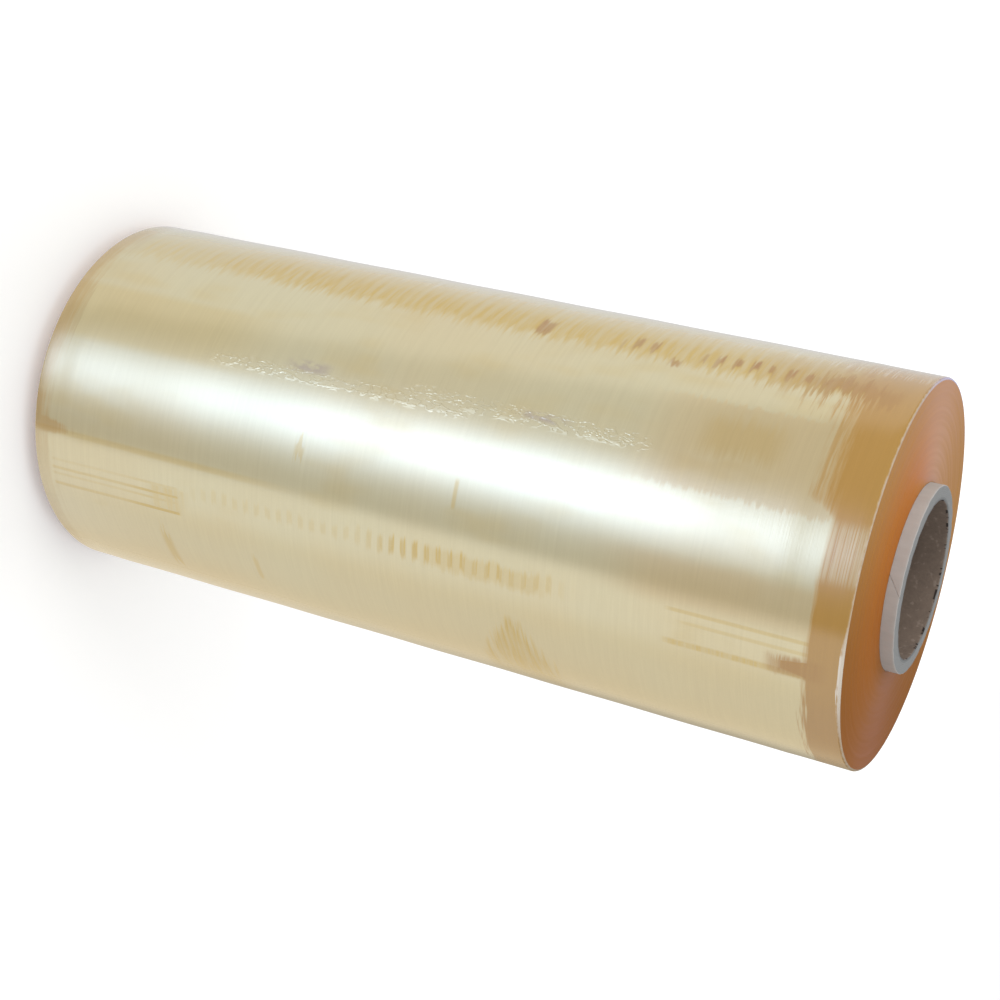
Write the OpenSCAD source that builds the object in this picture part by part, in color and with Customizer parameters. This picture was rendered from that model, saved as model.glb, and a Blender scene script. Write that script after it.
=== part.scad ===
// A catering roll of cling film: one long film wound tightly on a spiral-wound paperboard core.
// The roll stands on the lower end of its core. Z runs up the axis, and the origin is the centre
// of the core's lower end. All sizes are in millimetres.

/* [Film winding] */
// Width of the film, which is the length of the winding from rim to rim
film_w = 300; // [200:5:500]
// Outside diameter of the winding where it is fullest
wind_d = 128.5; // [100:0.5:220]
// How far the turns beside the core stand out past the rim, at each end
face_bulge = 1.3; // [0:0.1:3]
// Radius of the soft edge round each rim
rim_r = 0.8; // [0.3:0.1:2]
// How far the turns wander sideways across the end faces
turn_wander = 0.14; // [0.02:0.01:0.3]
// Radial distance from one sample of the turns on an end face to the next
turn_step = 0.8; // [0.5:0.1:2]
// Depth of the hollows between the gauge bands that stand out round the outside
gauge_hollow = 0.16; // [0.02:0.01:0.4]
// Distance along the roll from one gauge band to the next
gauge_pitch = 46; // [20:1:90]
// How much smaller in radius the tightly stuck ends are than the middle
end_drop = 0.2; // [0:0.05:0.6]
// Width of the tightly stuck band at the upper end
upper_band_w = 17; // [8:1:30]
// Width of the tightly stuck band at the lower end
lower_band_w = 8; // [4:1:30]

/* [Core tube] */
// Bore of the core tube
core_bore = 51.5; // [40:0.5:78]
// Wall of the core tube, all plies together
core_wall = 5; // [3:0.5:8]
// How far the core stands out past the rim at each end
core_stand = 5.7; // [4:0.1:15]
// Bevel that the saw leaves on the four edges of the cut ends
end_bevel = 0.35; // [0.2:0.05:0.8]
// Thickness of the outer liner ply, which is the depth of its seam
liner_t = 0.4; // [0.2:0.1:0.8]
// Gap between the two edges of the liner where they meet in the seam
seam_gap = 0.3; // [0.2:0.1:1]
// Angle of the spiral seam to the end of the tube, in degrees
seam_angle = 35; // [20:1:50]
// Where the seam starts at the lower cut, in degrees round the tube from X
seam_start = 175; // [0:1:360]

/* [Hidden] */
$fn = 96;

core_r = core_bore / 2 + core_wall;
core_l = film_w + 2 * core_stand;
wind_r = wind_d / 2;
end_r = wind_r - end_drop;
face_r = end_r - rim_r;

// Places along the axis
mid_z = core_l / 2;
low_rim_z = core_stand;
high_rim_z = core_stand + film_w;

// Facets round a rim's edge, and distance from one sample of the outside to the next
rim_steps = 5;
side_step = 6;
// Width of the slope from a tightly stuck band up to the middle
ramp_w = 6;
// Radial distances over which the wander of the turns fades, at the rim and at the core
rim_fade = 4;
core_fade = 2;

// A smooth step from 0 to 1 as x goes from 0 to 1
function smooth(x) = let (t = max(0, min(1, x))) t * t * (3 - 2 * t);

// The sideways wander of the turns at radius r, from -1 to 1: three waves of unlike length
function wander(r) =
    0.5 * sin(360 * r / 7.3)
    + 0.3 * sin(360 * r / 3.1 + 40)
    + 0.2 * sin(360 * r / 1.9);

// How much of the wander is left at radius r: none at the rim and none at the core
function wander_left(r) = smooth((face_r - r) / rim_fade) * smooth((r - core_r) / core_fade);

// How far the end face at radius r stands out past the rim. It fades to the rim's own level
function face_out(r) =
    let (share = (face_r - r) / (face_r - core_r))
    face_bulge * share * share + turn_wander * wander(r) * wander_left(r);

// Radii at which an end face is sampled, from the core out to the rim's edge
face_steps = round((face_r - core_r) / turn_step);
face_radii = [for (i = [0:face_steps]) core_r + (face_r - core_r) * i / face_steps];

// How deep the outside lies at height z in the hollow between two gauge bands
function gauge_dip(z) = gauge_hollow * (0.5 - 0.5 * cos(360 * (z - mid_z) / gauge_pitch));

// 1 between the two stuck bands and 0 in them
function in_middle(z) =
    smooth((z - low_rim_z - lower_band_w) / ramp_w)
    * smooth((high_rim_z - upper_band_w - z) / ramp_w);

// Radius of the outside at height z
function side_r(z) = end_r + (end_drop - gauge_dip(z)) * in_middle(z);

// Heights at which the outside is sampled, between the two rims' edges
side_l = film_w - 2 * rim_r;
side_steps = round(side_l / side_step);
side_heights = [for (i = [0:side_steps]) low_rim_z + rim_r + side_l * i / side_steps];

// The closed half section of the winding: lower face, lower rim, outside, upper rim, upper face
winding_section = concat(
    [for (r = face_radii) [r, low_rim_z - face_out(r)]],
    [for (i = [1:rim_steps - 1]) let (a = 90 * i / rim_steps)
        [face_r + rim_r * sin(a), low_rim_z + rim_r - rim_r * cos(a)]],
    [for (z = side_heights) [side_r(z), z]],
    [for (i = [1:rim_steps - 1]) let (a = 90 * i / rim_steps)
        [face_r + rim_r * cos(a), high_rim_z - rim_r + rim_r * sin(a)]],
    [for (i = [face_steps:-1:0]) [face_radii[i], high_rim_z + face_out(face_radii[i])]]
);

// The turns of film as one solid, seated on the core
module film_winding() {
    color("BurlyWood")
        rotate_extrude($fn = 192)
            polygon(winding_section);
}

// Length of core that shows at each end, from the cut to the turns beside the core
bare_l = core_stand - face_bulge;
// Height gained by the spiral seam in one turn
seam_lead = PI * 2 * core_r * tan(seam_angle);

// The closed half section of the tube's wall, bevelled at its four edges
wall_section = [
    [core_r - core_wall, end_bevel],
    [core_r - core_wall + end_bevel, 0],
    [core_r - end_bevel, 0],
    [core_r, end_bevel],
    [core_r, core_l - end_bevel],
    [core_r - end_bevel, core_l],
    [core_r - core_wall + end_bevel, core_l],
    [core_r - core_wall, core_l - end_bevel]
];

// The liner's open seam along one bare end, cut as deep as the liner. Over so short a length the
// helix is near enough straight
module bare_seam(from) {
    seam_l = bare_l / sin(seam_angle) + 2 * seam_gap;
    z = from + bare_l / 2;
    rotate([0, 0, seam_start + 360 * z / seam_lead])
        translate([core_r, 0, z])
            rotate([seam_angle, 0, 0])
                cube([2 * liner_t, seam_l, seam_gap], center = true);
}

// The paperboard tube that the film is wound on, with its true bore
module core_tube() {
    color("Silver")
        difference() {
            rotate_extrude($fn = 128)
                polygon(wall_section);
            bare_seam(0);
            bare_seam(core_l - bare_l);
        }
}

film_winding();
core_tube();
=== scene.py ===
import math

import bpy
import numpy as np
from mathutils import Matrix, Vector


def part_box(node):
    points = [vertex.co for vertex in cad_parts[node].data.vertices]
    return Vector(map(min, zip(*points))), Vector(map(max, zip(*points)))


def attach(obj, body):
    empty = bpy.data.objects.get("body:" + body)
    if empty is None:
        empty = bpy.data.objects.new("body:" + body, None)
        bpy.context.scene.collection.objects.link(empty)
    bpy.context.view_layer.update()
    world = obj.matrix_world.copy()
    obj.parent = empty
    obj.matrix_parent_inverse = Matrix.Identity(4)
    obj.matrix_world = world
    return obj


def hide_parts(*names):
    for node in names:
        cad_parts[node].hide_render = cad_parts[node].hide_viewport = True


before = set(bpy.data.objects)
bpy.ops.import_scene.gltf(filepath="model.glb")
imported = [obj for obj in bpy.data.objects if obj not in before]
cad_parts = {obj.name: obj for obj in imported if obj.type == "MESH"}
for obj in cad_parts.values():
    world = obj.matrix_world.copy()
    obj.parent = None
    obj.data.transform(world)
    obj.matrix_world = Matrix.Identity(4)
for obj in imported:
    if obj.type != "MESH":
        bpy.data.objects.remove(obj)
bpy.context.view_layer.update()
scene = bpy.context.scene
scene.view_settings.view_transform = "Standard"
mm = 0.001


# Camera. It looks from the side and above, turned so far that the standing roll lies across the
# picture, upper end to the right.
camera_place = (0, -0.5734, 0.4222)
camera_turn = (-27.94, -62.10, 120.20)
camera_data = bpy.data.cameras.new("camera")
camera_data.sensor_width = 36
camera_data.lens = 64.72
camera = bpy.data.objects.new("camera", camera_data)
camera.location = camera_place
camera.rotation_euler = [math.radians(degrees) for degrees in camera_turn]
scene.collection.objects.link(camera)
scene.camera = camera


# Core tube. Grey recycled board wound in a spiral from several plies and glued, with a pale liner
# ply outside. It is sawn to length, which leaves a rough pale cut, darker towards the bore, with
# painted shade in the gaps along the edge round the bore.
core_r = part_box("core_tube")[1].x
core_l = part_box("core_tube")[1].z
core_wall = 5 * mm
bore_r = core_r - core_wall
cut_bevel = 0.35 * mm
ply_t = 0.62 * mm
spiral_lead = 135.3 * mm
seam_w = 0.3 * mm
seam_depth = 0.16 * mm
outer_seam_at = math.radians(265)
inner_seam_at = math.radians(20)
frayed_l = 1.2 * mm
outer_fray = 0.03 * mm
bore_fray = 0.05 * mm
cut_sink = 0.10 * mm
cut_rows_l = 6 * mm
row_step = 3 * mm
bevel_steps = 4
tube_columns = 240
liner_colour = (0.465, 0.450, 0.430)
liner_stain_colour = (0.50, 0.43, 0.40)
cut_colour = (0.275, 0.282, 0.278)
board_colour = (0.205, 0.155, 0.120)
board_fleck_colour = (0.36, 0.29, 0.24)
# Painted shade: the near-black colour of the gaps along the edge between cut and bore.
gap_shade_colour = (0.035, 0.025, 0.02)


def smooth(x):
    """A step from 0 to 1 as x goes from 0 to 1, level at both ends: 3x squared less 2x cubed."""
    t = np.clip(x, 0, 1)
    return t * t * (3 - 2 * t)


def corner_arc(steps):
    """The angles of the points inside a rounded corner of a quarter turn, in so many steps."""
    return np.radians(np.linspace(0, 90, steps + 1)[1:-1])


def waves(angle, seed, low, high):
    """A wavy line round the axis, about -1 to 1: eight sines with a whole number of waves a turn,
    drawn between low and high, each with its own phase."""
    draw = np.random.default_rng(seed)
    counts = draw.integers(low, high + 1, 8)
    phases = draw.uniform(0, 2 * math.pi, 8)
    lines = [np.sin(count * angle + phase) for count, phase in zip(counts, phases)]
    return sum(lines) / 2.5


def ring_skin(name, radius, height, angle):
    """A closed skin round the axis. Row i, column j is the point at radius[i, j], height[i, j] and
    angle[i, j] from the front (-Y) towards +X; rows and columns both join up with their first."""
    points = np.stack([radius * np.sin(angle), -radius * np.cos(angle), height], -1)
    rows, columns = radius.shape
    index = np.arange(rows * columns).reshape(rows, columns)
    right = np.roll(index, -1, 1)
    faces = np.stack([index, right, np.roll(right, -1, 0), np.roll(index, -1, 0)], -1).reshape(-1, 4)
    mesh = bpy.data.meshes.new(name)
    mesh.from_pydata(points.reshape(-1, 3), [], faces.tolist())
    mesh.shade_smooth()
    piece = bpy.data.objects.new(name, mesh)
    scene.collection.objects.link(piece)
    return piece


def wall_outline():
    """The wall's closed outline, as radii and heights. It goes up the outside, in over the upper cut,
    down the bore and out under the lower cut, round four bevels. Points crowd near the cuts."""
    from_end = cut_rows_l + row_step
    up = np.concatenate([np.linspace(cut_bevel, cut_rows_l, 9),
                         np.linspace(from_end, core_l - from_end, 100),
                         np.linspace(core_l - cut_rows_l, core_l - cut_bevel, 9)])
    inward = np.linspace(core_r - cut_bevel, bore_r + cut_bevel, 12)
    leaving = cut_bevel * (1 - np.cos(corner_arc(bevel_steps)))
    arriving = cut_bevel * (1 - np.sin(corner_arc(bevel_steps)))
    radii = [np.full(up.size, core_r), core_r - leaving, inward, bore_r + arriving,
             np.full(up.size, bore_r), bore_r + leaving, inward[::-1], core_r - arriving]
    heights = [up, core_l - arriving, np.full(inward.size, core_l), core_l - leaving,
               up[::-1], arriving, np.zeros(inward.size), leaving]
    return np.concatenate(radii), np.concatenate(heights)


def seam_slot(off_seam):
    """1 in the liner's open seam and 0 beside it, from the distance off the seam round the skin."""
    return 1 - smooth(np.abs(off_seam) / seam_w * 2 - 0.5)


def tube_wall():
    """The wall's outline carried round the axis. Each point is turned by its height over the spiral's
    lead, so the columns follow the plies, and they crowd round the two seams, where the liner leaves a
    slot. Near a cut, waves round the axis fray the edges, and sink the cut itself at the upper end."""
    outline_r, outline_z = wall_outline()
    crowd = np.array([-1.6, -0.8, -0.5, -0.3, 0.3, 0.5, 0.8, 1.6]) * seam_w
    turn = np.unique(np.concatenate([np.linspace(0, 2 * math.pi, tube_columns, endpoint=False),
                                     outer_seam_at + crowd / core_r, inner_seam_at + crowd / bore_r]))
    radius, turned = np.meshgrid(outline_r, turn, indexing="ij")
    height = np.repeat(outline_z[:, None], turn.size, 1)
    angle = turned + 2 * math.pi * height / spiral_lead
    outer_slot = seam_slot((turned - outer_seam_at) * core_r) * smooth((radius - core_r) / seam_depth + 2)
    inner_slot = seam_slot((turned - inner_seam_at) * bore_r) * smooth((bore_r - radius) / seam_depth + 2)
    radius = radius - seam_depth * outer_slot + seam_depth * inner_slot
    near_cut = smooth(1 - np.minimum(height, core_l - height) / frayed_l)
    fray = np.clip(waves(angle, 5, 9, 60), 0, 1) * near_cut
    on_bore_side = radius < (bore_r + core_r) / 2
    radius = np.where(on_bore_side, radius + bore_fray * fray, radius - outer_fray * fray)
    sink = cut_sink * np.clip(waves(angle + 90 * radius, 6, 5, 50), 0, 1)
    height = np.where(height > core_l / 2, height - sink * near_cut, height)
    return ring_skin("core_tube_board", radius, height, angle)


class Wire:
    """A socket of a node tree. Sums on wires add Math nodes, and node() adds a node of any kind."""

    def __init__(self, tree, socket=None):
        self.tree = tree
        self.socket = socket

    def node(self, kind, settings=None, sockets=None, out=0):
        made = self.tree.nodes.new(kind)
        for name, value in (settings or {}).items():
            setattr(made, name, value)
        for name, value in (sockets or {}).items():
            if isinstance(value, Wire):
                self.tree.links.new(value.socket, made.inputs[name])
            else:
                made.inputs[name].default_value = value
        return Wire(self.tree, made.outputs[out])

    def math(self, operation, *values):
        return self.node("ShaderNodeMath", {"operation": operation}, dict(enumerate(values)))

    def __add__(self, other):
        return self.math("ADD", self, other)

    __radd__ = __add__

    def __sub__(self, other):
        return self.math("SUBTRACT", self, other)

    def __rsub__(self, other):
        return self.math("SUBTRACT", other, self)

    def __mul__(self, other):
        return self.math("MULTIPLY", self, other)

    __rmul__ = __mul__

    def __truediv__(self, other):
        return self.math("DIVIDE", self, other)

    def __abs__(self):
        return self.math("ABSOLUTE", self)

    def smaller(self, other):
        """The smaller of two wires."""
        return self.math("MINIMUM", self, other)

    def larger(self, *others):
        """The largest of several wires."""
        largest = self
        for other in others:
            largest = self.math("MAXIMUM", largest, other)
        return largest

    def wave(self):
        """A sine with one wave for each whole step of the wire, from 0 to 1."""
        return 0.5 + 0.5 * self.math("SINE", self * (2 * math.pi))

    def step(self, low, high):
        """0 below low and 1 above high, with a smooth rise between."""
        settings = {"interpolation_type": "SMOOTHSTEP"}
        return self.node("ShaderNodeMapRange", settings, {"Value": self, "From Min": low, "From Max": high})

    def between(self, low, high, soft):
        """1 from low to high, with edges soft wide."""
        return self.step(low - soft, low) * (1 - self.step(high, high + soft))

    def part(self, axis):
        """One coordinate of a position."""
        return self.node("ShaderNodeSeparateXYZ", None, {0: self}, axis)

    def off_axis(self):
        """The distance of the position from the axis."""
        flat = self.scaled(1, 0)
        return self.node("ShaderNodeVectorMath", {"operation": "LENGTH"}, {0: flat}, "Value")

    def heading(self):
        """The angle of the position round the axis, in degrees from the front (-Y) towards +X."""
        return self.math("ARCTAN2", self.part(0), 0 - self.part(1)) * (180 / math.pi)

    def scaled(self, across, along):
        """The position scaled across the axis and along it, for a noise drawn out one way."""
        return self.node("ShaderNodeMapping", None, {"Vector": self, "Scale": (across, across, along)})

    def noise(self, scale, detail, rough):
        """Soft noise about 0.5 at the position, with so many waves a metre."""
        sockets = {"Vector": self, "Scale": scale, "Detail": detail, "Roughness": rough}
        return self.node("ShaderNodeTexNoise", None, sockets)

    def mixed(self, first, second):
        """A colour from first to second as the wire goes from 0 to 1."""
        ends = [end if isinstance(end, Wire) else (*end, 1) for end in (first, second)]
        return self.node("ShaderNodeMix", {"data_type": "RGBA"}, {0: self, 6: ends[0], 7: ends[1]}, 2)

    def shaded(self, colour):
        """A colour made lighter or darker by the wire, the same in all three channels."""
        return self.node("ShaderNodeVectorMath", {"operation": "SCALE"}, {0: colour, "Scale": self})

    def lit_by(self, light):
        """The colour with a light's colour added to it."""
        return self.node("ShaderNodeVectorMath", {"operation": "ADD"}, {0: self, 1: light})


def new_material(name):
    """An empty material, and a wire to start its nodes from."""
    material = bpy.data.materials.new(name)
    material.use_nodes = True
    material.node_tree.nodes.clear()
    return material, Wire(material.node_tree)


def finish_material(start, surface):
    """Joins the shader to the material's output."""
    output = start.tree.nodes.new("ShaderNodeOutputMaterial")
    start.tree.links.new(surface.socket, output.inputs["Surface"])


def board_material():
    """Spiral-wound board: pale liner outside, sawn plies on the cuts, darker towards the bore,
    grey-brown board in the bore, and painted shade in dark gaps along the edge between cut and bore."""
    material, start = new_material("wound_board")
    place = start.node("ShaderNodeTexCoord", out="Object")
    across = place.off_axis()
    height = place.part(2)
    from_cut = height.smaller(core_l - height)
    fleck = place.noise(900, 4, 0.7)
    mottle = place.noise(260, 3, 0.6)
    fibre = place.scaled(1, 0.35).noise(420, 3, 0.6)

    liner = (0.88 + 0.24 * fibre).shaded(liner_colour)
    liner = (mottle.step(0.52, 0.75) * 0.35).mixed(liner, liner_stain_colour)
    plies = (across / ply_t + mottle).wave()
    # The cut is made darker towards the bore.
    darker_near_bore = 1 - across.step(bore_r + 0.3 * mm, bore_r + 1.6 * mm)
    cut = (0.84 + 0.10 * plies + 0.20 * (fleck - 0.5) + 0.1 * mottle - 0.30 * darker_near_bore).shaded(cut_colour)
    cut = (fleck.step(0.56, 0.72) * 0.5).mixed(cut, board_colour)
    board = (0.55 + 0.5 * fleck + 0.4 * mottle).shaded(board_colour)
    board = (place.noise(520, 2, 0.5).step(0.6, 0.72) * 0.45).mixed(board, board_fleck_colour)
    outside = across.step(core_r - 0.30 * mm, core_r - 0.12 * mm)
    in_bore = 1 - across.step(bore_r + 0.05 * mm, bore_r + 0.25 * mm)
    colour = in_bore.mixed(outside.mixed(cut, liner), board)

    # Painted shade: near-black dashes in the gaps along the edge between cut and bore.
    painted_gap_shade = place.scaled(1, 0.2).noise(330, 2, 0.6).step(0.54, 0.58)
    edge = across.between(bore_r - 0.3 * mm, bore_r + 0.22 * mm, 0.1 * mm)
    edge = edge * (1 - from_cut.step(0.5 * mm, 0.9 * mm))
    colour = (painted_gap_shade * edge).mixed(colour, gap_shade_colour)
    relief = start.node("ShaderNodeBump", None, {
        "Strength": 0.5, "Distance": 0.12 * mm, "Height": fleck * 0.6 + mottle * 0.4})
    shader = start.node("ShaderNodeBsdfPrincipled", None, {
        "Base Color": colour, "Roughness": 0.82 - 0.16 * outside, "Normal": relief, "IOR": 1.45})
    finish_material(start, shader)
    return material


core_tube = tube_wall()
core_tube.data.materials.append(board_material())
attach(core_tube, "root")
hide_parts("core_tube")


# Film winding. One long clear film of stretchy plastic, wound wet-tight on the core. Trapped air
# makes it pearly, and it turns honey-coloured where the turns have sunk onto each other: in a band
# at each end and in combs of short streaks round the outside.
film_low, film_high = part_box("film_winding")
film_r = min(film_high.x, -film_low.x)
face_bulge = 1.3 * mm
low_rim = film_low.z + face_bulge
high_rim = film_high.z - face_bulge
end_drop = 0.12 * mm
end_r = film_r - end_drop
rim_r = 0.8 * mm
face_r = end_r - rim_r
turn_wander = 0.06 * mm
wander_waves = ((7.3, 0.5, 0.0), (3.1, 0.3, 0.7), (1.9, 0.2, 0.0))
rim_fade = 4 * mm
core_fade = 2 * mm
gauge_hollow = 0.10 * mm
gauge_pitch = 46 * mm
low_band_w = 8 * mm
high_band_w = 17 * mm
ramp_w = 6 * mm
rim_steps = 7
face_rows = 80
side_rows = 130
film_columns = 288
pale_colour = (0.690, 0.622, 0.400)
pale_warm_colour = (0.700, 0.600, 0.365)
straw_colour = (0.570, 0.390, 0.085)
amber_colour = (0.440, 0.246, 0.056)
brown_colour = (0.340, 0.160, 0.045)
smudge_colour = (0.42, 0.33, 0.33)
# A pale colour, painted as a highlight on the rims and as a reflection on a stretch towards -X.
painted_highlight_colour = (0.80, 0.76, 0.68)
end_inner_colour = (0.550, 0.168, 0.010)
end_outer_colour = (0.500, 0.238, 0.038)
# The end colour at +X, part of the painted shade there.
end_shaded_colour = (0.470, 0.155, 0.012)


def face_out(radii):
    """How far an end face stands out past its rim: it bulges with the square of the way in from the
    rim. Turns that wander add sines of the radius, which fade at the rim and the core. wander_waves
    holds the length in millimetres, the share and the phase of each."""
    way_in = (face_r - radii) / (face_r - core_r)
    wander = sum(share * np.sin(2 * math.pi * radii / (length * mm) + phase)
                 for length, share, phase in wander_waves)
    level = smooth((face_r - radii) / rim_fade) * smooth((radii - core_r) / core_fade)
    return face_bulge * way_in ** 2 + turn_wander * wander * level


def side_out(heights):
    """How far the side stands out past the bands at the ends: end_drop between them, less a hollow
    between each two gauge bands, which is a cosine of the height."""
    hollow = gauge_hollow * (0.5 - 0.5 * np.cos(2 * math.pi * (heights - core_l / 2) / gauge_pitch))
    off_low_band = smooth((heights - low_rim - low_band_w) / ramp_w)
    off_high_band = smooth((high_rim - high_band_w - heights) / ramp_w)
    return (end_drop - hollow) * off_low_band * off_high_band


def film_turns():
    """The outline goes out over the lower face, round its rim, up the side, round the upper rim and
    in over the upper face, then down the core. It is carried once round the axis."""
    face_radii = np.linspace(core_r, face_r, face_rows)
    bulge = face_out(face_radii)
    arc = corner_arc(rim_steps)
    side = np.linspace(low_rim + rim_r, high_rim - rim_r, side_rows)
    core_side = np.linspace(high_rim, low_rim, 8)
    outline_r = np.concatenate([face_radii, face_r + rim_r * np.sin(arc), end_r + side_out(side),
                                face_r + rim_r * np.cos(arc), face_radii[::-1],
                                np.full(core_side.size, core_r)])
    outline_z = np.concatenate([low_rim - bulge, low_rim + rim_r * (1 - np.cos(arc)), side,
                                high_rim - rim_r * (1 - np.sin(arc)), (high_rim + bulge)[::-1],
                                core_side])
    turn = np.linspace(0, 2 * math.pi, film_columns, endpoint=False)
    radius, angle = np.meshgrid(outline_r, turn, indexing="ij")
    height = np.repeat(outline_z[:, None], turn.size, 1)
    return ring_skin("film_winding_turns", radius, height, angle)


class SidePlace:
    """A place on the outside of the winding: its angle in degrees from the front towards +X, its
    distances up from the lower rim and down from the upper one in millimetres, and the noises that
    the marks there share, all as wires. The gloss that the marks lie beside is the bright streak up
    the front, where the film mirrors the window."""

    def __init__(self, start):
        place = start.node("ShaderNodeTexCoord", out="Object")
        self.angle = place.heading()
        self.up = (place.part(2) - low_rim) / mm
        self.down = (high_rim - place.part(2)) / mm
        self.hair = place.scaled(28, 2300).noise(1, 3, 0.75)
        self.comb = place.scaled(42, 700).noise(1, 3, 0.7).step(0.32, 0.68)
        self.drift = place.noise(13, 2, 0.5)
        self.blotch = place.scaled(60, 25).noise(1, 2, 0.6)
        self.crumple = place.scaled(430, 210).noise(1, 2, 0.5)

    def combed(self, ragged):
        """The angle, moved so that an edge at it runs out in streaks, ragged degrees long in all."""
        return self.angle + (self.comb - 0.5) * ragged

    def patch(self, low_angle, high_angle, low_mm, high_mm, soft_angle, soft_mm, ragged=0):
        """1 over a stretch of the outside, with edges soft_angle and soft_mm wide beyond it, and with
        its ends combed into streaks by ragged degrees."""
        angle = self.combed(ragged) if ragged else self.angle
        return angle.between(low_angle, high_angle, soft_angle) * self.up.between(low_mm, high_mm, soft_mm)


def high_band(side):
    """1 in the honey-coloured band below the upper rim. Its lower border is combed and soft, most so
    towards -X, and the gloss shows through it in fine lines."""
    far_left = side.combed(14).between(-125, -52, 10)
    left = side.angle.step(-150, -110) * (1 - side.angle.step(-16, -9))
    border = 11.5 + 7.5 * left + 8.0 * far_left + 8 * side.angle.between(31, 33, 1.5)
    soft = 1.2 + 6.0 * left + 9.0 * far_left
    ragged = 0.8 + 3.7 * left + 5.5 * far_left + 2.5 * side.angle.between(40, 150, 6)
    band = 1 - ((side.down - border + (side.comb - 0.5) * ragged) / soft).step(-1, 1)
    return band * (1 - 0.45 * side.hair.step(0.35, 0.6) * side.angle.between(-7, 4, 4))


def low_band(side):
    """How honey-coloured the band above the lower rim is. It is paler than the upper one, and it runs
    up into a tongue beside the gloss, on the +X side."""
    border = 5.5 + 9 * side.angle.between(17, 18.5, 2.5)
    band = 1 - (side.up - border + (side.comb - 0.5) * 4 + (side.drift - 0.5) * 6).step(-3.0, 4.0)
    return band * (0.34 - 0.14 * side.angle.between(40, 130, 18) + 0.18 * side.angle.between(-62, -12, 8)
                   + 0.26 * side.angle.between(9, 18, 3))


def amber_marks(side):
    """The bands at both ends, and where the film half sinks beside the upper one."""
    return high_band(side).larger(
        low_band(side),
        side.patch(31, 33.5, 281, 292, 2, 6, 2) * 0.7,
        side.patch(-36, -9.5, 240, 292, 1.5, 24, 2) * 0.30,
        side.patch(12, 20, 240, 292, 5, 28) * 0.30,
        side.patch(-62, -50, 262, 292, 6, 22, 6) * 0.32)


def comb_rows(side):
    """Long combs of short streaks: a strong one on the -X side of the gloss, and two faint ones at the
    back."""
    tick = (side.up / 3.9 + side.drift * 4).wave()
    streaks = 0.40 + 0.46 * side.comb + 0.25 * tick
    front = side.patch(-66, -50.5, 15, 290, 5, 12, 5) * streaks
    front = front * (0.45 + 0.55 * side.up.step(10, 90)) * (0.60 + 0.40 * side.angle.step(-64, -56))
    back = side.patch(-146, -136, 40, 190, 7, 30, 9).larger(side.patch(108, 117, 120, 270, 6, 30, 9))
    return front.larger(back * streaks * 0.75)


def dash_row(side):
    """A row of short dashes on the +X side of the gloss. On the way up it is faint at first, then
    strong, then run together."""
    dash = (side.up / 4.4 + side.drift * 1.2).wave().step(0.30, 0.75)
    strong = side.patch(26, 29, 152, 192, 2.5, 24, 2) * dash * (0.50 + 0.35 * side.comb)
    faint = side.patch(27, 29, 80, 150, 2, 20, 2) * dash * 0.22
    run_together = side.patch(26, 30, 166, 198, 2.5, 10, 2) * 0.32
    return strong.larger(faint, run_together)


def fan(side):
    """A fan of streaks on the +X side that widens away from the gloss and fades out."""
    half_width = 2 + 12 * side.angle.step(38, 66) + (side.comb - 0.5) * 4
    spread = (1 - (abs(side.up - 191) - half_width).step(-5, 5)) * side.angle.step(38, 44)
    return spread * (1 - side.combed(26).step(72, 104)) * (0.46 + 0.50 * side.comb)


def single_marks(side):
    """Three blots in line below the fan, and two ticks in the edge of the gloss."""
    return (side.patch(48, 60, 53, 54, 6, 3.5, 8) * 0.75).larger(
        side.patch(48, 56, 91, 92, 4, 1.5, 4) * 0.6,
        side.patch(44, 56, 122, 132, 8, 10, 10) * 0.25,
        side.patch(4.5, 11, 169.0, 169.7, 2, 0.7) * 0.55,
        side.patch(4, 8, 109.5, 111.5, 1.5, 1.5, 5) * 0.45)


def creases(side):
    """Fine lines along the roll that stop short, all on the +X side. Four near the lower end lean a
    little and run out in a faint patch, one follows the edge of the gloss there, and three lie near
    the upper end."""
    lean = side.angle + side.up * 0.012
    low_end = side.up.between(8, 62, 1.5) * (0.55 + 0.45 * side.up.step(36, 50))
    low = (lean.between(28.5, 28.9, 0.5) * 0.3).larger(
        lean.between(31.4, 31.9, 0.5) * 0.7,
        lean.between(33.6, 34.0, 0.5) * 0.45,
        lean.between(37.2, 37.8, 0.6) * 0.85)
    return (low * low_end).larger(
        side.patch(29, 37, 54, 62, 1.5, 7) * 0.5 * (0.3 + 0.7 * side.comb),
        side.patch(18.4, 19.2, 10, 70, 1.2, 50) * 0.4,
        side.patch(23.8, 24.4, 247, 290, 0.5, 4) * 0.45,
        side.patch(27, 27.6, 252, 290, 0.5, 6) * 0.35,
        side.patch(33.6, 34.6, 247, 290, 1.0, 6) * (0.35 + 0.4 * side.comb))


def haze(side):
    """Faint clouds where the film only just sticks, in three places and in blotches all over."""
    return (side.patch(-28, -24, 248, 262, 7, 10, 3) * 0.36).larger(
        side.patch(-30, -14, 8, 60, 4, 40) * 0.32,
        side.patch(40, 66, 60, 290, 10, 60) * 0.24,
        side.blotch.step(0.52, 0.75) * 0.25)


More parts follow.
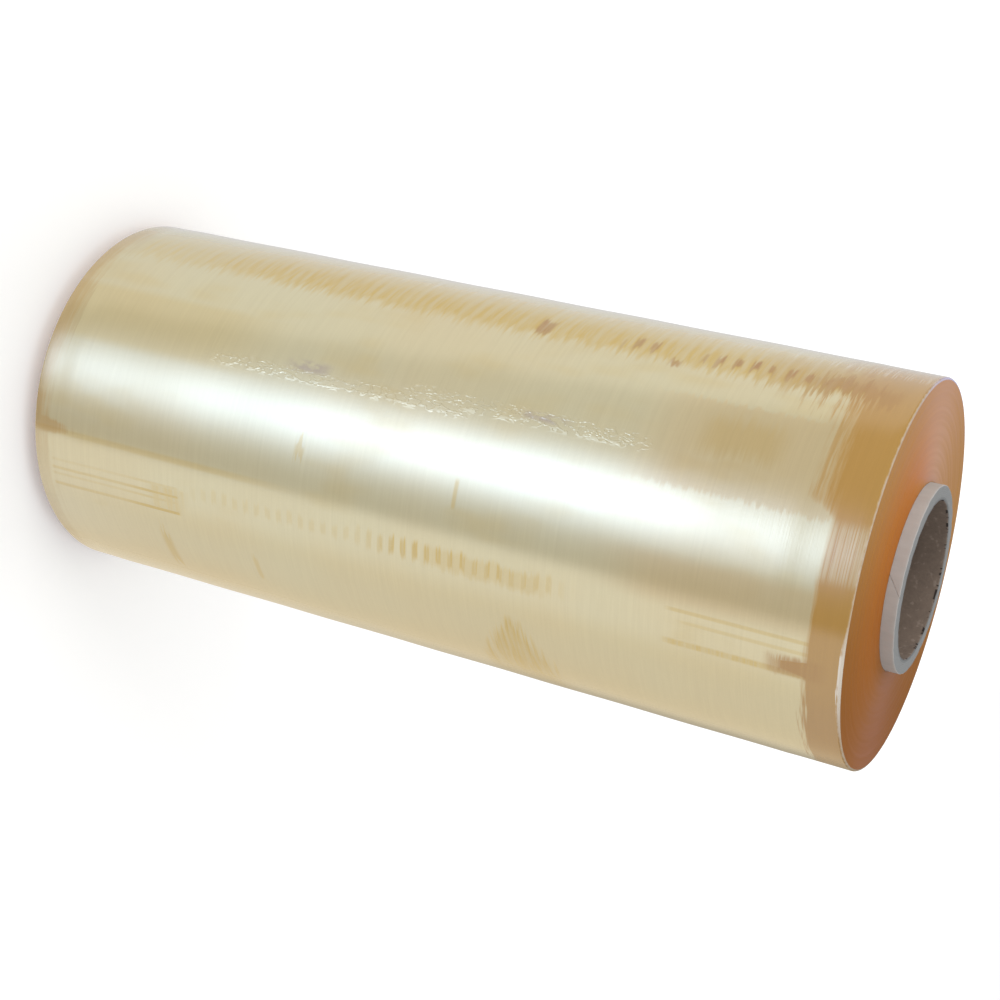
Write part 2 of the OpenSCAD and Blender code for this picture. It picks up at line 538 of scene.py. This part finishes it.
def brown_marks(side):
    """Brown teeth along the strong comb row, which merge as it runs into the upper band, and three
    single flecks."""
    teeth_at = (side.up.between(204, 215, 2) * 0.75).larger(
        side.up.between(232, 252, 3) * 0.95, side.up.between(257, 292, 4))
    tooth = (side.up / 5.7 + side.drift * 1.5).wave().step(0.35, 0.85) * (0.50 + 0.45 * side.comb)
    teeth = side.combed(4).between(-55, -52, 2) * teeth_at * tooth
    merged = side.combed(8).between(-56, -50, 3) * side.up.step(258, 276) * side.up.between(257, 292, 4)
    return teeth.larger(
        merged * (0.45 + 0.3 * side.comb),
        side.patch(-56, -50.5, 173.5, 177, 2, 1.5, 3) * (0.55 + 0.35 * side.comb),
        side.patch(-49.5, -47.5, 222, 224, 1.5, 1.5, 3) * 0.6,
        side.patch(30, 34, 280, 292, 2, 5) * side.comb * 0.6)


def marked_film(side, straw, amber, brown):
    """Pale film with its straw, amber and brown marks, two smudges, a painted reflection on a streaky
    stretch towards -X, and fine hoop lines."""
    colour = side.drift.step(0.35, 0.65).mixed(pale_colour, pale_warm_colour)
    colour = straw.mixed(colour, straw_colour)
    colour = amber.mixed(colour, amber_colour)
    colour = (brown * (1 - amber * 0.4)).mixed(colour, brown_colour)
    smudge = side.patch(-19.4, -18.2, 103, 108, 2.2, 9).larger(side.patch(-19.5, -18.9, 189, 194, 1.8, 9))
    colour = (smudge * side.crumple.step(0.36, 0.60) * 0.50).mixed(colour, smudge_colour)
    # Painted reflection: the side from -82 to -67 degrees is paled in streaks.
    painted_edge_reflection = side.patch(-82, -67, 60, 292, 4, 30) * side.hair.step(0.50, 0.66) * 0.40
    colour = painted_edge_reflection.mixed(colour, painted_highlight_colour)
    return (0.93 + 0.11 * side.hair + 0.03 * side.comb).shaded(colour)


def painted_rim_highlight(side, colour):
    """The colour with a thin painted highlight along both rims, broad in one stretch of the upper one."""
    broad = side.angle.step(15, 28) * (1 - side.angle.step(33, 58)) * side.up.step(100, 200)
    highlight_w = 0.7 * (side.crumple - 0.35) + 1.7 * broad * (0.2 + 0.8 * side.comb)
    # Painted highlight: a thin pale line where the feathered film edges at the rims catch the light.
    rim_line = 1 - (side.up.smaller(side.down) - highlight_w).step(-0.1, 0.5)
    return (rim_line * (0.45 + 0.35 * broad)).mixed(colour, painted_highlight_colour)


def side_relief(side):
    """Hair lines round the whole outside, deepest in the gloss near the upper end, and two strips of
    fine wrinkles that glint on the -X side of the gloss. Heights are in millimetres."""
    wrinkled = side.patch(-16.5, -15.0, 74, 160, 2, 9).larger(side.patch(-20.0, -17.5, 148, 222, 2, 9))
    wrinkle = side.crumple.between(0.47, 0.53, 0.05) * wrinkled * 0.11
    hair_line = side.hair * (0.006 + 0.012 * side.patch(-12, 8, 236, 300, 4, 12))
    return wrinkle.node("ShaderNodeBump", None, {
        "Strength": 1.0, "Distance": mm, "Height": hair_line + wrinkle})


def film_side_material():
    """The outside of the winding: pearly film, straw and amber where it sticks. The amber turns brown
    away from the gloss on the +X side. The pearl fades in all marks, and the clear coat thins in the
    brown ones."""
    material, start = new_material("wound_film_side")
    side = SidePlace(start)
    amber = amber_marks(side)
    straw = comb_rows(side).larger(dash_row(side), fan(side), single_marks(side), creases(side), haze(side))
    brown = brown_marks(side)
    browned = amber * side.angle.step(36, 60)
    dull = amber.larger(straw * 0.5, brown)
    colour = marked_film(side, straw, amber, brown.larger(browned * 0.5))
    shader = start.node("ShaderNodeBsdfPrincipled", None, {
        "Base Color": painted_rim_highlight(side, colour),
        "Metallic": 0.34 * (1 - dull),
        "Roughness": 0.17 + 0.12 * (side.hair - 0.5),
        "IOR": 1.7,
        "Coat Weight": 1.0 - 0.5 * brown.larger(browned),
        "Coat Roughness": 0.06,
        "Normal": side_relief(side)})
    finish_material(start, shader)
    return material


def film_end_material():
    """The end faces: the edges of some thousands of turns, honey-coloured and ringed like a record.
    Near the core they are deepest in colour at the front and paler round the rest, which is a painted
    sheen; towards +X they are darker, which is painted shade."""
    material, start = new_material("wound_film_end")
    place = start.node("ShaderNodeTexCoord", out="Object")
    radius = place.off_axis()
    ring_place = start.node("ShaderNodeCombineXYZ", None, {0: radius * 1800, 1: place.part(0) * 14})
    ring = ring_place.noise(1, 4, 0.7)
    outward = ((radius - core_r) / (film_r - core_r)).step(0, 1)
    # Painted sheen: near the core the colour is deep only at the front and paler round the rest.
    unsheened_front = (0 - place.part(1) / radius).step(-0.1, 0.9)
    # Painted shade: darker and more orange towards +X.
    painted_shade_side = (place.part(0) / film_r).step(-0.5, 0.9)
    outer = painted_shade_side.mixed(end_outer_colour, end_shaded_colour)
    colour = (1 - unsheened_front * (1 - outward)).mixed(end_inner_colour, outer)
    colour = ((1.01 - 0.32 * painted_shade_side) * (0.92 + 0.16 * ring)).shaded(colour)
    relief = start.node("ShaderNodeBump", None, {"Strength": 0.4, "Distance": 0.03 * mm, "Height": ring})
    shader = start.node("ShaderNodeBsdfPrincipled", None, {
        "Base Color": colour, "Roughness": 0.42, "Anisotropic": 0.8, "Anisotropic Rotation": 0.25,
        "IOR": 1.4, "Normal": relief})
    finish_material(start, shader)
    return material


film_winding = film_turns()
film_winding.data.materials.append(film_side_material())
film_winding.data.materials.append(film_end_material())
face_centres = np.zeros(len(film_winding.data.polygons) * 3)
film_winding.data.polygons.foreach_get("center", face_centres)
face_centres = face_centres.reshape(-1, 3)
on_end = np.hypot(face_centres[:, 0], face_centres[:, 1]) < face_r
film_winding.data.polygons.foreach_set("material_index", on_end.astype(np.int32))
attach(film_winding, "root")
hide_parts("film_winding")


# Floor. A plain pale sheet under the roll that takes its shadow. It glows a little for the camera
# alone, so that it shows as white as the sky behind it.
floor_half = 6
floor_colour = (0.85, 0.85, 0.85, 1)
floor_glow = 0.25
floor_corners = [(-floor_half, -floor_half, 0), (floor_half, -floor_half, 0),
                 (floor_half, floor_half, 0), (-floor_half, floor_half, 0)]
floor_mesh = bpy.data.meshes.new("floor")
floor_mesh.from_pydata(floor_corners, [], [(0, 1, 2, 3)])
floor = bpy.data.objects.new("floor", floor_mesh)
floor.visible_glossy = False
scene.collection.objects.link(floor)
floor_material, floor_start = new_material("floor_sheet")
seen = floor_start.node("ShaderNodeLightPath", out="Is Camera Ray")
sheet = floor_start.node("ShaderNodeBsdfDiffuse", None, {"Color": floor_colour})
glow = floor_start.node("ShaderNodeEmission", None, {"Strength": seen * floor_glow})
finish_material(floor_start, floor_start.node("ShaderNodeAddShader", None, {0: sheet, 1: glow}))
floor_mesh.materials.append(floor_material)


# Lamps. Two large soft boxes above the roll, a strong one in front of it towards -X and a weak one
# behind it.
lamp_size = 1.4


def soft_box(name, place, power):
    """A square lamp that faces the middle of the roll and doesn't show in its gloss."""
    data = bpy.data.lights.new(name, "AREA")
    data.size = lamp_size
    data.energy = power
    lamp = bpy.data.objects.new(name, data)
    lamp.location = place
    off_roll = np.array(place) - np.array([0, 0, core_l / 2])
    away = off_roll / np.linalg.norm(off_roll)
    lamp.rotation_euler = (math.acos(away[2]), 0, math.atan2(away[0], -away[1]))
    lamp.visible_glossy = False
    scene.collection.objects.link(lamp)


soft_box("soft_box_front", (-1.7, -1.4, 1.1), 16)
soft_box("soft_box_back", (-0.4, 1.9, 1.0), 7)


# Sky. Plain and pale all round. In gloss it shows a dim room with a pale wall on either side, a tall
# soft window in front of the roll, and a cold light behind it towards -X, for the end faces.
wall_tint = (0.92, 0.80, 0.60)
window_colour = (0.74, 1.0, 1.55)
far_light_colour = (0.70, 0.80, 1.75)
sky = bpy.data.worlds.new("sky")
sky.use_nodes = True
sky.node_tree.nodes.clear()
sky_start = Wire(sky.node_tree)
way = sky_start.node("ShaderNodeTexCoord", out="Generated")
heading = way.heading()
lift = sky_start.math("ARCSINE", way.part(2)) * (180 / math.pi)
front_half = 1 - abs(heading).step(164, 179)

wall_left = 1 - (heading + 1.3 * lift).step(-107, -92)
wall_right = heading.step(36, 46)
wall = 0.64 + 0.04 * abs(heading).step(118, 142) + 0.18 * heading.step(0, 30) * front_half
wall = wall + 0.11 * heading.between(46, 70, 25)
wall = wall - 0.40 * heading.step(138, 160) * lift.step(-36, -14) * front_half
dim = (0.31 - 0.11 * heading.step(-50, 40)) * (1 - 0.35 * lift.step(-21, -13))
room = dim + (wall - dim) * wall_left.larger(wall_right)
room = room - (room - 0.15) * lift.step(-4, 4)
tint = (heading.step(90, 140) * front_half).mixed((1, 1, 1), wall_tint)

off_middle = (heading + 6 - 2.5 * lift.step(-30, -12)) / 12.8
window = sky_start.math("EXPONENT", off_middle * off_middle * -0.5) * lift.step(-56, -18) * 3.6
window = window * (1 - 0.76 * lift.step(-21, -12))
far_light = (0 - heading).step(110, 165) * lift.between(2, 22, 8) * 0.40
gloss = room.shaded(tint).lit_by(window.shaded(window_colour)).lit_by(far_light.shaded(far_light_colour))

ray = {kind: sky_start.node("ShaderNodeLightPath", out="Is " + kind + " Ray")
       for kind in ("Camera", "Glossy", "Transmission")}
plain = ray["Camera"].larger(ray["Transmission"]).mixed((0.88, 0.88, 0.88), (1, 1, 1))
sky_colour = ray["Glossy"].mixed(plain, gloss)
background = sky_start.node("ShaderNodeBackground", None, {"Color": sky_colour, "Strength": 1.0})
sky_output = sky.node_tree.nodes.new("ShaderNodeOutputWorld")
sky.node_tree.links.new(background.socket, sky_output.inputs["Surface"])
scene.world = sky
